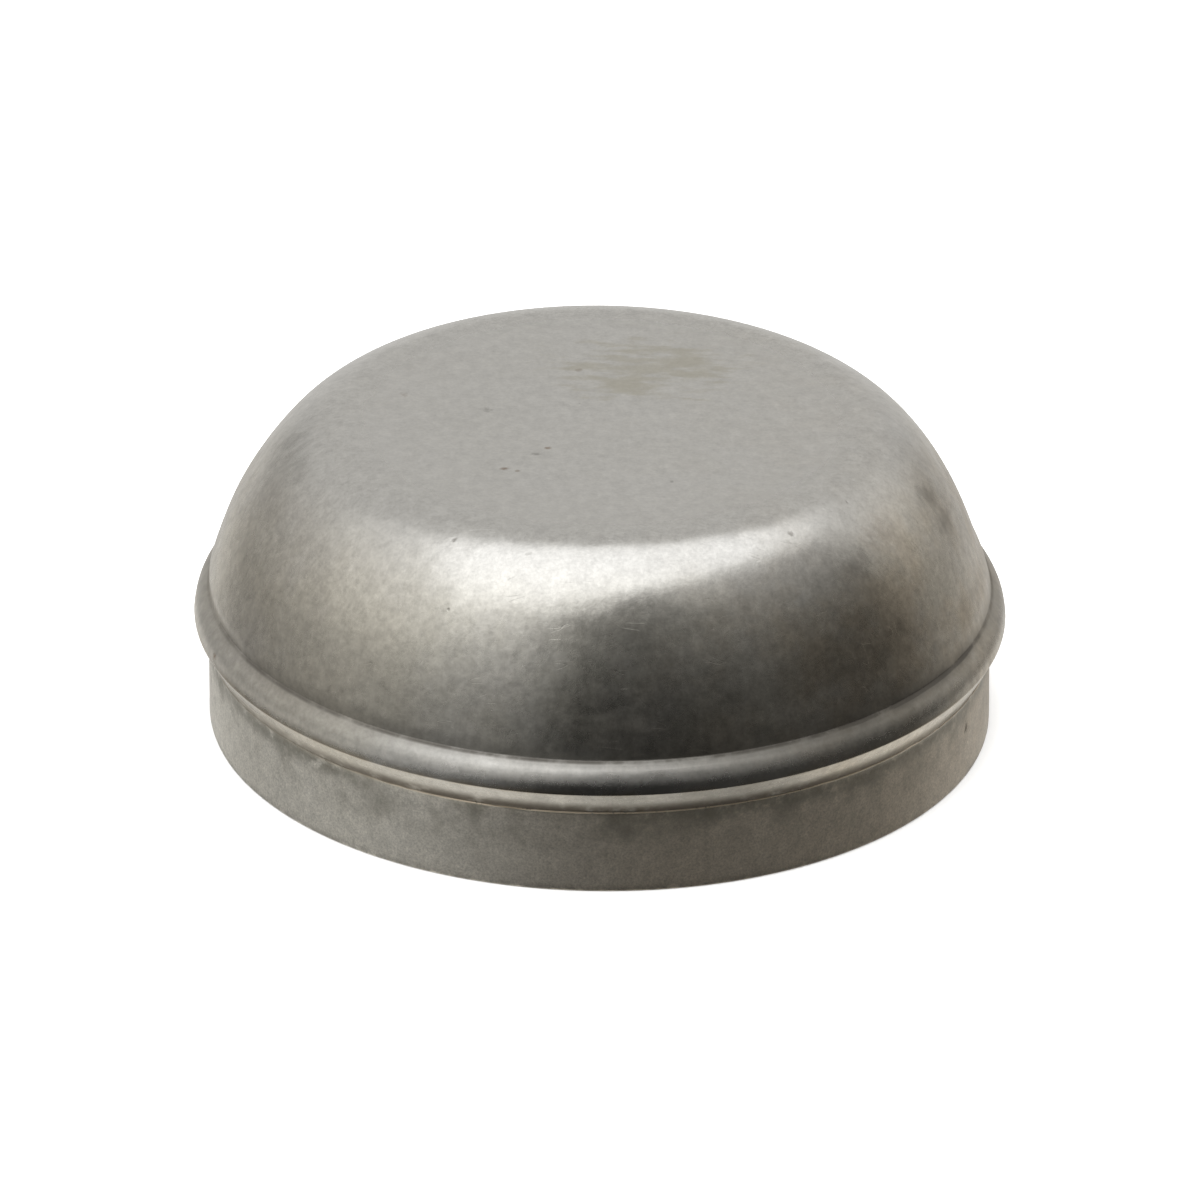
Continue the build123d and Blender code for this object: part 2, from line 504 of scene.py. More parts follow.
class Graph:
    """Adds nodes to a node tree and links them."""

    def __init__(self, tree: bpy.types.NodeTree) -> None:
        """Takes the tree that the nodes go into."""
        self.tree = tree

    def add(self, kind: str, **settings: object) -> bpy.types.Node:
        """Adds a node.

        Args:
            kind: type name of the node.
            settings: properties of the node.

        Returns:
            The new node.
        """
        node = self.tree.nodes.new(kind)
        for name, value in settings.items():
            setattr(node, name, value)
        return node

    def feed(self, socket: bpy.types.NodeSocket, value: object) -> None:
        """Links an output to a socket, or sets the socket to a plain value."""
        if isinstance(value, bpy.types.NodeSocket):
            self.tree.links.new(value, socket)
        else:
            socket.default_value = value

    def math(self, operation: str, *values: object, clamp: bool = False) -> bpy.types.NodeSocket:
        """Result of a sum on numbers.

        Args:
            operation: name of the operation.
            values: numbers or outputs, in the node's order.
            clamp: whether the result is kept between 0 and 1.

        Returns:
            The output.
        """
        node = self.add("ShaderNodeMath", operation=operation, use_clamp=clamp)
        for socket, value in zip(node.inputs, values):
            self.feed(socket, value)
        return node.outputs[0]

    def vector(self, operation: str, *values: object) -> bpy.types.NodeSocket:
        """Result of a sum on vectors: the number where the operation gives one, and the vector otherwise.

        Args:
            operation: name of the operation.
            values: vectors or outputs, in the node's order.

        Returns:
            The output.
        """
        node = self.add("ShaderNodeVectorMath", operation=operation)
        for socket, value in zip(node.inputs, values):
            self.feed(socket, value)
        return node.outputs["Value" if operation in ("LENGTH", "DOT_PRODUCT", "DISTANCE") else "Vector"]

    def scaled(self, vector: bpy.types.NodeSocket, factor: float) -> bpy.types.NodeSocket:
        """A vector times a number."""
        node = self.add("ShaderNodeVectorMath", operation="SCALE")
        self.feed(node.inputs[0], vector)
        node.inputs["Scale"].default_value = factor
        return node.outputs["Vector"]

    def triple(self, value: object) -> bpy.types.NodeSocket:
        """A vector with the same number three times."""
        node = self.add("ShaderNodeCombineXYZ")
        for socket in node.inputs:
            self.feed(socket, value)
        return node.outputs[0]

    def shaded(self, colour: object, factor: object) -> bpy.types.NodeSocket:
        """A colour times a number."""
        node = self.add("ShaderNodeVectorMath", operation="SCALE")
        self.feed(node.inputs[0], colour)
        self.feed(node.inputs["Scale"], factor)
        return node.outputs["Vector"]

    def ramp(self, value: object, low: object, high: object, start: object = 0.0,
             end: object = 1.0) -> bpy.types.NodeSocket:
        """Smooth step from one number to another.

        Args:
            value: number that is read.
            low: value where the step starts.
            high: value where the step ends.
            start: result at low.
            end: result at high.

        Returns:
            The output.
        """
        node = self.add("ShaderNodeMapRange", interpolation_type="SMOOTHSTEP")
        for name, number in zip(("Value", "From Min", "From Max", "To Min", "To Max"),
                                (value, low, high, start, end)):
            self.feed(node.inputs[name], number)
        return node.outputs["Result"]

    def blend(self, share: object, first: object, second: object) -> bpy.types.NodeSocket:
        """Mix of two colours.

        Args:
            share: share of the second colour.
            first: first colour.
            second: second colour.

        Returns:
            The output.
        """
        node = self.add("ShaderNodeMix", data_type="RGBA")
        self.feed(node.inputs[0], share)
        self.feed(node.inputs[6], first)
        self.feed(node.inputs[7], second)
        return node.outputs[2]

    def noise(self, vector: object, scale: object, detail: float = 3.0,
              rough: float = 0.55) -> bpy.types.NodeSocket:
        """Cloudy noise from 0 to 1.

        Args:
            vector: place that is read.
            scale: features for each unit of length.
            detail: number of finer layers.
            rough: strength of the finer layers.

        Returns:
            The output.
        """
        node = self.add("ShaderNodeTexNoise")
        self.feed(node.inputs["Vector"], vector)
        self.feed(node.inputs["Scale"], scale)
        node.inputs["Detail"].default_value = detail
        node.inputs["Roughness"].default_value = rough
        return node.outputs["Fac"]

    def mask(self, name: str) -> bpy.types.NodeSocket:
        """A mask that the mesh carries, by name."""
        return self.add("ShaderNodeAttribute", attribute_name=name).outputs["Fac"]

    def group(self, tree: bpy.types.NodeTree, **values: object) -> bpy.types.Node:
        """Places a node group.

        Args:
            tree: the group.
            values: input names, with spaces as underscores, and what they get.

        Returns:
            The group's node.
        """
        node = self.add("ShaderNodeGroup", node_tree=tree)
        for name, value in values.items():
            self.feed(node.inputs[name.replace("_", " ")], value)
        return node


def new_group(name: str, inputs: dict[str, tuple[str, object]], outputs: dict[str, str]) -> Graph:
    """Starts a shader node group.

    Args:
        name: name of the group.
        inputs: socket type and default of each input, by name.
        outputs: socket type of each output, by name.

    Returns:
        A graph of the group, whose tree has one input node and one output node.
    """
    tree = bpy.data.node_groups.new(name, "ShaderNodeTree")
    for label, (kind, default) in inputs.items():
        socket = tree.interface.new_socket(name=label, in_out="INPUT", socket_type=kind)
        if default is not None:
            socket.default_value = default
    for label, kind in outputs.items():
        tree.interface.new_socket(name=label, in_out="OUTPUT", socket_type=kind)
    graph = Graph(tree)
    graph.entry = graph.add("NodeGroupInput")
    graph.exit = graph.add("NodeGroupOutput")
    return graph


@dataclass(frozen=True)
class SurfaceEffects:
    """Node groups that both finishes use. Every group reads places in millimetres."""
    grain: bpy.types.NodeTree
    streaks: bpy.types.NodeTree
    rings: bpy.types.NodeTree
    scratches: bpy.types.NodeTree
    patches: bpy.types.NodeTree
    spot: bpy.types.NodeTree

    @classmethod
    def make(cls) -> "SurfaceEffects":
        """Builds the groups once."""
        return cls(cls.make_grain(), cls.make_streaks(), cls.make_rings(), cls.make_scratches(),
                   cls.make_patches(), cls.make_spot())

    @staticmethod
    def make_grain() -> bpy.types.NodeTree:
        """Sandy skin of the rolled sheet: fine noise for the relief, and fine and middling noise for the shade."""
        graph = new_group("rolled_grain", {
            "Place": ("NodeSocketVector", None), "Fineness": ("NodeSocketFloat", 3.4),
            "Contrast": ("NodeSocketFloat", 0.25)},
            {"Height": "NodeSocketFloat", "Shade": "NodeSocketFloat"})
        place = graph.entry.outputs["Place"]
        fine = graph.noise(place, graph.entry.outputs["Fineness"], 2.0, 0.6)
        middling = graph.noise(place, graph.math("MULTIPLY", graph.entry.outputs["Fineness"], 0.3), 4.0, 0.65)
        both = graph.math("ADD", graph.math("MULTIPLY", fine, 0.5), graph.math("MULTIPLY", middling, 0.7))
        shade = graph.math("MULTIPLY", graph.math("SUBTRACT", both, 0.6), graph.entry.outputs["Contrast"])
        graph.feed(graph.exit.inputs["Height"], fine)
        graph.feed(graph.exit.inputs["Shade"], graph.math("ADD", shade, 1.0))
        return graph.tree

    @staticmethod
    def make_streaks() -> bpy.types.NodeTree:
        """Drawing marks: noise read on a circle round the axis, so that it runs along the wall."""
        graph = new_group("drawing_streaks", {
            "Place": ("NodeSocketVector", None), "Across": ("NodeSocketFloat", 2.0),
            "Along": ("NodeSocketFloat", 0.15)}, {"Streak": "NodeSocketFloat"})
        place = graph.entry.outputs["Place"]
        ring = graph.vector("NORMALIZE", graph.vector("MULTIPLY", place, (1.0, 1.0, 0.0)))
        across = graph.vector("MULTIPLY", ring, graph.triple(graph.entry.outputs["Across"]))
        across = graph.vector("MULTIPLY", across, (30.0, 30.0, 0.0))
        along = graph.vector("MULTIPLY", place, graph.triple(graph.entry.outputs["Along"]))
        along = graph.vector("MULTIPLY", along, (0.0, 0.0, 1.0))
        noise = graph.noise(graph.vector("ADD", across, along), 1.0, 4.0, 0.6)
        graph.feed(graph.exit.inputs["Streak"], noise)
        return graph.tree

    @staticmethod
    def make_rings() -> bpy.types.NodeTree:
        """Rolling marks round the axis: noise read by radius and height, hardly by angle."""
        graph = new_group("rolling_rings", {
            "Place": ("NodeSocketVector", None), "Fineness": ("NodeSocketFloat", 5.0)},
            {"Ring": "NodeSocketFloat"})
        place = graph.entry.outputs["Place"]
        radius = graph.vector("LENGTH", graph.vector("MULTIPLY", place, (1.0, 1.0, 0.0)))
        lane = graph.vector("MULTIPLY", graph.triple(radius), (1.0, 0.0, 0.0))
        lane = graph.vector("ADD", lane, graph.vector("MULTIPLY", place, (0.012, 0.012, 1.0)))
        graph.feed(graph.exit.inputs["Ring"], graph.noise(lane, graph.entry.outputs["Fineness"], 3.0, 0.6))
        return graph.tree

    @staticmethod
    def make_scratches() -> bpy.types.NodeTree:
        """Hairline scratches: the level lines of a long stretched noise, kept in a few patches."""
        graph = new_group("hairline_scratches", {
            "Place": ("NodeSocketVector", None), "Turn": ("NodeSocketVector", (0.0, 0.0, 0.0)),
            "Width": ("NodeSocketFloat", 0.006), "Patches": ("NodeSocketFloat", 0.58)},
            {"Scratch": "NodeSocketFloat"})
        place = graph.add("ShaderNodeMapping")
        graph.feed(place.inputs["Vector"], graph.entry.outputs["Place"])
        graph.feed(place.inputs["Rotation"], graph.entry.outputs["Turn"])
        place.inputs["Scale"].default_value = (0.12, 0.9, 0.5)
        lines = graph.noise(place.outputs[0], 1.0, 1.0, 0.4)
        off = graph.math("ABSOLUTE", graph.math("SUBTRACT", lines, 0.5))
        line = graph.ramp(off, 0.0, graph.entry.outputs["Width"], 1.0, 0.0)
        where = graph.noise(graph.entry.outputs["Place"], 0.4, 2.0, 0.5)
        low = graph.entry.outputs["Patches"]
        patch = graph.ramp(where, low, graph.math("ADD", low, 0.08))
        graph.feed(graph.exit.inputs["Scratch"], graph.math("MULTIPLY", line, patch))
        return graph.tree

    @staticmethod
    def make_patches() -> bpy.types.NodeTree:
        """Ragged patches: a mask that is eaten away by noise of several sizes."""
        graph = new_group("ragged_patches", {
            "Place": ("NodeSocketVector", None), "Mask": ("NodeSocketFloat", 1.0),
            "Scale": ("NodeSocketFloat", 1.0), "Cover": ("NodeSocketFloat", 0.5),
            "Softness": ("NodeSocketFloat", 0.22)},
            {"Patch": "NodeSocketFloat"})
        cloud = graph.noise(graph.entry.outputs["Place"], graph.entry.outputs["Scale"], 5.0, 0.62)
        low = graph.math("SUBTRACT", 0.72, graph.math("MULTIPLY", graph.entry.outputs["Cover"], 0.5))
        patch = graph.ramp(cloud, low, graph.math("ADD", low, graph.entry.outputs["Softness"]))
        graph.feed(graph.exit.inputs["Patch"], graph.math("MULTIPLY", patch, graph.entry.outputs["Mask"]))
        return graph.tree

    @staticmethod
    def make_spot() -> bpy.types.NodeTree:
        """One blemish: the distance from its middle, in its own reach, roughened by a given noise."""
        graph = new_group("blemish", {
            "Place": ("NodeSocketVector", None), "Middle": ("NodeSocketVector", (0.0, 0.0, 0.0)),
            "Reach": ("NodeSocketVector", (1.0, 1.0, 1.0)), "Noise": ("NodeSocketFloat", 0.5),
            "Ragged": ("NodeSocketFloat", 1.0), "Strength": ("NodeSocketFloat", 1.0)},
            {"Spot": "NodeSocketFloat"})
        entry = graph.entry.outputs
        from_middle = graph.vector("SUBTRACT", entry["Place"], entry["Middle"])
        distance = graph.vector("LENGTH", graph.vector("DIVIDE", from_middle, entry["Reach"]))
        rough = graph.math("MULTIPLY", graph.math("SUBTRACT", entry["Noise"], 0.5), entry["Ragged"])
        edge = graph.math("ADD", distance, graph.math("MULTIPLY", rough, 2.0))
        spot = graph.ramp(edge, 0.1, 1.2, 1.0, 0.0)
        graph.feed(graph.exit.inputs["Spot"], graph.math("MULTIPLY", spot, entry["Strength"]))
        return graph.tree


@dataclass(frozen=True)
class Blemish:
    """A named mark on the steel, or a painted dark reflection: its middle and its reach along X, Y and Z, in
    millimetres.
    """
    kind: Mark
    middle: tuple[float, float, float]
    reach: tuple[float, float, float]
    strength: float = 1.0
    ragged: float = 1.0


BLEMISHES_AND_DARK_REFLECTIONS = (
    Blemish(Mark.OIL, (3.4, 9.4, 25.2), (6.4, 4.6, 1.0), 0.5, 2.4),
    Blemish(Mark.OIL, (2.4, 6.2, 25.2), (4.4, 1.6, 1.0), 0.6, 2.0),
    Blemish(Mark.OIL, (6.4, 10.2, 25.2), (2.8, 3.8, 1.0), 0.55, 2.0),
    Blemish(Mark.RUB, (5.6, 5.3, 25.2), (1.7, 0.5, 1.0), 0.4, 1.2),
    Blemish(Mark.RUST, (-4.2, -5.3, 25.2), (0.34, 0.3, 0.8), 0.75, 0.7),
    Blemish(Mark.DIRT_AND_DARK_REFLECTION, (-5.1, -6.4, 25.2), (0.5, 0.28, 0.8), 0.5, 0.8),
    Blemish(Mark.RUST, (-7.5, -9.1, 25.2), (0.42, 0.34, 0.8), 0.7, 0.8),
    Blemish(Mark.RUST, (-6.5, -9.45, 25.2), (0.28, 0.22, 0.8), 0.5, 0.8),
    Blemish(Mark.DIRT_AND_DARK_REFLECTION, (-9.05, 1.45, 25.2), (0.5, 0.5, 0.8), 0.45, 1.2),
    Blemish(Mark.RUST, (-15.6, 4.0, 25.2), (0.36, 0.45, 0.8), 0.3, 1.2),
    Blemish(Mark.RUST, (-1.9, 9.0, 25.2), (0.32, 0.4, 0.8), 0.4, 0.8),
    Blemish(Mark.DIRT_AND_DARK_REFLECTION, (5.4, -11.0, 25.2), (0.2, 0.25, 0.8), 0.5, 0.6),
    Blemish(Mark.PIT, (-11.2, -19.9, 24.4), (0.3, 0.25, 0.3), 0.6, 0.6),
    Blemish(Mark.PIT, (14.6, -17.9, 24.3), (0.3, 0.25, 0.28), 0.6, 0.7),
    Blemish(Mark.PIT, (18.9, -12.6, 24.5), (0.2, 0.2, 0.25), 0.6, 0.6),
    Blemish(Mark.PIT, (-5.5, -22.2, 24.4), (0.36, 0.2, 0.22), 0.4, 0.8),
    Blemish(Mark.PIT, (-11.5, -24.2, 20.6), (0.15, 0.15, 0.2), 0.8, 0.4),
    Blemish(Mark.RUST, (-30.1, -11.1, 9.6), (0.4, 0.5, 0.3), 0.8, 0.8),
    Blemish(Mark.RUB, (4.35, -31.7, 9.7), (0.07, 0.6, 0.34), 0.55, 0.3),
    Blemish(Mark.RUB, (4.95, -31.6, 9.85), (0.06, 0.6, 0.3), 0.4, 0.3),
    Blemish(Mark.DIRT_AND_DARK_REFLECTION, (-24.3, -1.9, 23.4), (1.8, 2.8, 2.2), 0.3, 2.4),
    Blemish(Mark.DIRT_AND_DARK_REFLECTION, (28.8, -11.5, 4.4), (0.3, 0.4, 0.55), 0.75, 0.8),
    Blemish(Mark.DIRT_AND_DARK_REFLECTION, (-23.7, -5.6, 23.5), (1.4, 2.6, 1.2), 0.25, 2.0),
    # Painted reflections: these four dark patches on the right of the dome stand for the dark opening mirrored in
    # the steel.
    Blemish(Mark.DIRT_AND_DARK_REFLECTION, (20.0, -18.3, 20.2), (2.6, 2.6, 1.8), 0.3, 2.0),
    Blemish(Mark.DIRT_AND_DARK_REFLECTION, (19.2, -17.8, 21.5), (2.6, 2.3, 1.0), 0.5, 1.6),
    Blemish(Mark.DIRT_AND_DARK_REFLECTION, (25.6, -5.2, 21.6), (1.5, 2.0, 1.4), 0.5, 1.3),
    Blemish(Mark.DIRT_AND_DARK_REFLECTION, (26.9, -5.7, 19.6), (1.3, 2.0, 1.6), 0.5, 1.3),
    Blemish(Mark.RUST, (21.8, -13.5, 22.3), (2.4, 2.4, 1.0), 0.16, 1.8),
    Blemish(Mark.RUB, (15.5, -21.8, 20.8), (0.9, 0.8, 0.6), 0.3, 1.8),
    Blemish(Mark.DIRT_AND_DARK_REFLECTION, (1.5, -29.5, 14.5), (3.6, 3.0, 2.2), 0.3, 2.2),
)

Colour = tuple[float, float, float, float]


@dataclass(frozen=True)
class OuterSteel:
    """Outside of the cap: satin drawn steel, handled, with grime on the skirt and rust in the folds, and painted
    light and shade: contact shade in the crease, a skirt lit at the left and shaded at the right, a glint along
    the burr and dark reflections on the right of the dome.
    """
    name: str = "steel_outside"
    steel: Colour = (0.575, 0.568, 0.55, 1.0)
    olive: Colour = (0.53, 0.516, 0.462, 1.0)
    brown: Colour = (0.47, 0.415, 0.33, 1.0)
    # Skirt colours with painted light: lit at the left, shaded and browner at the right.
    skirt_lit_left: Colour = (0.70, 0.68, 0.62, 1.0)
    skirt_shaded_brown_right: Colour = (0.52, 0.46, 0.375, 1.0)
    tan: Colour = (0.75, 0.64, 0.5, 1.0)
    grime: Colour = (0.24, 0.225, 0.185, 1.0)
    crust: Colour = (0.2, 0.172, 0.135, 1.0)
    warmth: tuple[float, float, float] = (1.02, 0.99, 0.962)
    rust: Colour = (0.19, 0.115, 0.06, 1.0)
    # Dark grime colour, also used for painted contact shade in the crease and painted dark reflections on the
    # dome.
    dirt: Colour = (0.12, 0.11, 0.095, 1.0)
    oil: Colour = (0.40, 0.37, 0.27, 1.0)
    rub: Colour = (0.66, 0.66, 0.65, 1.0)
    crown_roughness: float = 0.34
    shoulder_roughness: float = 0.22
    wall_roughness: float = 0.28
    bead_roughness: float = 0.26
    skirt_roughness: float = 0.46
    grain_depth: float = 0.005
    uneven_depth: float = 0.06
    dimple_depth: float = 0.012
    streak_depth: float = 0.002
    ring_depth: float = 0.004
    scratch_depth: float = 0.004
    pit_depth: float = 0.03

    def make(self, effects: SurfaceEffects) -> bpy.types.Material:
        """Builds the material.

        Args:
            effects: the shared node groups.

        Returns:
            The material.
        """
        material = bpy.data.materials.new(self.name)
        material.use_nodes = True
        graph = Graph(material.node_tree)
        shader = material.node_tree.nodes["Principled BSDF"]
        place = graph.scaled(graph.add("ShaderNodeTexCoord").outputs["Object"], 1.0 / MM)
        contrast = graph.ramp(graph.mask("crown"), 0.0, 1.0, 0.7, 0.5)
        grain = graph.group(effects.grain, Place=place, Fineness=3.4, Contrast=contrast)
        streaks = graph.group(effects.streaks, Place=place, Across=2.0, Along=0.15).outputs[0]
        marks = self.marks(graph, effects, place)
        folds = self.folds(graph, effects, place)
        parts = graph.add("ShaderNodeSeparateXYZ")
        graph.feed(parts.inputs[0], place)
        side = parts.outputs[0]
        colour = self.colour(graph, effects, place, side, streaks)
        colour = graph.shaded(colour, grain.outputs["Shade"])
        graph.feed(shader.inputs["Base Color"], self.soiled(graph, colour, side, folds, marks))
        film = self.film(graph, side, folds)
        graph.feed(shader.inputs["Metallic"], graph.math("SUBTRACT", 1.0, film, clamp=True))
        graph.feed(shader.inputs["Roughness"], self.roughness(graph, place, film, folds, marks))
        graph.feed(shader.inputs["Normal"], self.relief(graph, effects, place, grain, streaks, marks))
        return material

    def film(self, graph: Graph, side: bpy.types.NodeSocket,
             folds: dict[str, bpy.types.NodeSocket]) -> bpy.types.NodeSocket:
        """Share of dull film over the metal: on the skirt, at the root and on the bead, most at the left.

        Args:
            graph: the material's graph.
            side: place from left to right in millimetres.
            folds: masks of the folds.

        Returns:
            The share, from 0 to 1.
        """
        root = graph.math("MULTIPLY", folds["root"], graph.ramp(side, -26.0, -12.0, 0.1, 0.04))
        skirt = graph.math("MULTIPLY", graph.mask("skirt"), 0.1)
        face = graph.math("MULTIPLY", graph.mask("bead_face"), graph.ramp(side, -24.0, -2.0, 0.21, 0.0))
        top = graph.math("MULTIPLY", graph.mask("bead_top"), 0.05)
        return graph.math("MAXIMUM", graph.math("MAXIMUM", root, skirt), graph.math("MAXIMUM", face, top))

    def marks(self, graph: Graph, effects: SurfaceEffects,
              place: bpy.types.NodeSocket) -> dict[Mark, bpy.types.NodeSocket]:
        """Masks of the named blemishes and painted dark reflections, the strongest for each kind.

        Args:
            graph: the material's graph.
            effects: the shared node groups.
            place: place on the cap in millimetres.

        Returns:
            One mask for each kind of blemish.
        """
        fine = graph.noise(place, 3.0, 3.0, 0.6)
        wide = graph.noise(graph.vector("MULTIPLY", place, (0.3, 0.9, 0.6)), 1.0, 5.0, 0.62)
        masks: dict[Mark, bpy.types.NodeSocket] = {}
        for blemish in BLEMISHES_AND_DARK_REFLECTIONS:
            noise = wide if max(blemish.reach) > 1.5 else fine
            spot = graph.group(effects.spot, Place=place, Middle=blemish.middle, Reach=blemish.reach,
                               Noise=noise, Ragged=blemish.ragged, Strength=blemish.strength).outputs[0]
            before = masks.get(blemish.kind)
            masks[blemish.kind] = spot if before is None else graph.math("MAXIMUM", before, spot)
        return masks

    def folds(self, graph: Graph, effects: SurfaceEffects,
              place: bpy.types.NodeSocket) -> dict[str, bpy.types.NodeSocket]:
        """Masks of what lies along the folds: grime with painted contact shade in the crease, rust below the nose
        and at the root.

        Args:
            graph: the material's graph.
            effects: the shared node groups.
            place: place on the cap in millimetres.

        Returns:
            One mask for each fold.
        """
        settings = {"crease": (0.35, 1.1, 0.4), "nose_edge": (0.28, 0.8, 0.3), "root": (0.5, 1.15, 0.35),
                    "below_root": (0.3, 0.6, 0.3), "burr": (1.8, 0.8, 0.1), "mouth": (0.9, 0.8, 0.25),
                    "under_lip": (1.1, 0.85, 0.25)}
        return {name: graph.group(effects.patches, Place=place, Mask=graph.mask(name), Scale=scale,
                                  Cover=cover, Softness=soft).outputs[0]
                for name, (scale, cover, soft) in settings.items()}

    def colour(self, graph: Graph, effects: SurfaceEffects, place: bpy.types.NodeSocket,
               side: bpy.types.NodeSocket, streaks: bpy.types.NodeSocket) -> bpy.types.NodeSocket:
        """Colour of the bare metal: clean on the crown and bead, olive to the left and brown to the right, with
        painted light on the skirt, lighter at the left and darker at the right, and the bead's top darker towards
        both sides.

        Args:
            graph: the material's graph.
            effects: the shared node groups.
            place: place on the cap in millimetres.
            side: place from left to right in millimetres.
            streaks: the drawing streaks.

        Returns:
            The colour.
        """
        off = graph.ramp(graph.math("ABSOLUTE", side), 9.0, 26.0)
        bead = graph.math("MULTIPLY", graph.mask("bead"), graph.math("MULTIPLY_ADD", off, -0.6, 0.75))
        clean = graph.math("MAXIMUM", graph.mask("clean"), bead)
        worn = graph.math("SUBTRACT", 1.0, graph.math("MULTIPLY", clean, 0.85))
        tone = graph.noise(place, 0.07, 5.0, 0.62)
        olive = graph.math("MULTIPLY", graph.ramp(tone, 0.34, 0.62, 0.45, 1.0), worn)
        colour = graph.blend(olive, self.steel, self.olive)
        right = graph.ramp(side, -4.0, 20.0, 0.12, 0.85)
        tan = graph.ramp(graph.noise(place, 0.16, 5.0, 0.65), 0.36, 0.66, 0.35, 1.0)
        brown = graph.math("MULTIPLY", graph.math("MULTIPLY", right, tan), worn)
        colour = graph.blend(brown, colour, self.brown)
        warm = graph.vector("MULTIPLY", colour, self.warmth)
        colour = graph.blend(graph.math("MULTIPLY", off, worn), colour, warm)
        drawn = graph.math("MULTIPLY", graph.math("SUBTRACT", streaks, 0.5), graph.mask("wall"))
        colour = graph.shaded(colour, graph.math("MULTIPLY_ADD", drawn, 0.16, 1.0))
        blotches = graph.math("SUBTRACT", graph.noise(place, 1.4, 4.0, 0.6), 0.5)
        blotches = graph.math("MULTIPLY", blotches, graph.ramp(worn, 0.1, 1.0, 0.18, 0.62))
        colour = graph.shaded(colour, graph.math("ADD", blotches, 1.0))
        # The bead's top is made darker towards the left and the right, and a little lighter at the far right.
        bead_top_darkening = graph.ramp(side, -25.0, -3.0, -0.38, 0.02)
        bead_top_darkening = graph.math("ADD", bead_top_darkening, graph.ramp(side, 1.0, 20.0, 0.0, -0.36))
        bead_top_darkening = graph.math("ADD", bead_top_darkening, graph.ramp(side, 26.0, 31.0, 0.0, 0.1))
        colour = graph.shaded(colour, graph.math("MULTIPLY_ADD", graph.mask("bead_top"), bead_top_darkening, 1.0))
        skirt = graph.mask("skirt")
        # Painted light: the skirt is lighter at the left and darker and browner at the right, blended across the
        # front.
        skirt_painted_light = graph.blend(graph.ramp(side, -18.0, 8.0), self.skirt_lit_left, self.skirt_shaded_brown_right)
        colour = graph.blend(graph.math("MULTIPLY", skirt, 0.85), colour, skirt_painted_light)
        mottle = graph.group(effects.patches, Place=place, Mask=skirt, Scale=0.4, Cover=0.42,
                             Softness=0.35).outputs[0]
        colour = graph.blend(graph.math("MULTIPLY", mottle, 0.4), colour, self.grime)
        tanned = graph.group(effects.patches, Place=place, Mask=skirt, Scale=0.8, Cover=0.22,
                             Softness=0.16).outputs[0]
        tanned = graph.math("MULTIPLY", tanned, graph.ramp(side, 0.0, 12.0, 0.0, 0.45))
        colour = graph.blend(tanned, colour, self.tan)
        sandy = graph.math("SUBTRACT", graph.noise(place, 6.0, 3.0, 0.7), 0.5)
        sandy = graph.math("MULTIPLY", sandy, graph.math("MULTIPLY", skirt, 1.05))
        colour = graph.shaded(colour, graph.math("ADD", sandy, 1.0))
        smoky = graph.group(effects.patches, Place=place, Mask=graph.mask("wall"), Scale=0.2, Cover=0.36,
                            Softness=0.4).outputs[0]
        colour = graph.blend(graph.math("MULTIPLY", smoky, 0.34), colour, self.grime)
        bare = graph.math("MULTIPLY", worn, graph.math("SUBTRACT", 1.0, graph.mask("bead")))
        flecks = graph.group(effects.patches, Place=place, Mask=bare, Scale=1.3, Cover=0.2,
                             Softness=0.2).outputs[0]
        return graph.blend(graph.math("MULTIPLY", flecks, 0.4), colour, self.grime)

    def soiled(self, graph: Graph, colour: bpy.types.NodeSocket, side: bpy.types.NodeSocket,
               folds: dict[str, bpy.types.NodeSocket],
               marks: dict[Mark, bpy.types.NodeSocket]) -> bpy.types.NodeSocket:
        """Colour with the grime, rust, painted contact shade and painted burr glint of the folds, and the named
        blemishes and painted dark reflections, laid over it.

        Args:
            graph: the material's graph.
            colour: colour of the bare metal.
            side: place from left to right in millimetres.
            folds: masks of the folds.
            marks: masks of the blemishes.

        Returns:
            The colour.
        """
        # Painted shade: the crease's dark band is grime plus painted contact shade between wall and bead, faded at
        # the far left and right and stronger on the right.
        distance = graph.math("ABSOLUTE", side)
        off = graph.ramp(distance, 27.5, 30.5, 1.0, 0.35)
        off = graph.math("MULTIPLY", off, graph.ramp(side, 14.0, 24.0, 1.0, 1.7))
        crease = graph.math("MULTIPLY", folds["crease"], off, clamp=True)
        crust = graph.math("MULTIPLY", folds["root"], graph.ramp(distance, 15.0, 25.0, 1.0, 0.4))
        stained = graph.math("MAXIMUM", graph.ramp(side, -2.0, 7.0), graph.ramp(side, -22.0, -15.0, 1.0, 0.0))
        stains = graph.math("MULTIPLY", folds["under_lip"], stained)
        # Painted highlight: the burr's light tan line is partly scraped metal and partly a painted glint along its
        # edge, faint at the left.
        burr = graph.math("MULTIPLY", folds["burr"], graph.ramp(side, -22.0, -8.0, 0.15, 1.0))
        layers = ((crease, self.dirt, 0.9), (folds["nose_edge"], self.brown, 0.85),
                  (folds["below_root"], self.grime, 0.8), (stains, self.grime, 0.65), (crust, self.crust, 0.85),
                  (burr, self.tan, 0.95), (folds["mouth"], self.dirt, 0.6),
                  (marks[Mark.OIL], self.oil, 0.8), (marks[Mark.RUB], self.rub, 0.8),
                  (marks[Mark.DIRT_AND_DARK_REFLECTION], self.dirt, 0.8), (marks[Mark.PIT], self.dirt, 0.8),
                  (marks[Mark.RUST], self.rust, 0.9))
        for mask, tint, share in layers:
            colour = graph.blend(graph.math("MULTIPLY", mask, share), colour, tint)
        return colour

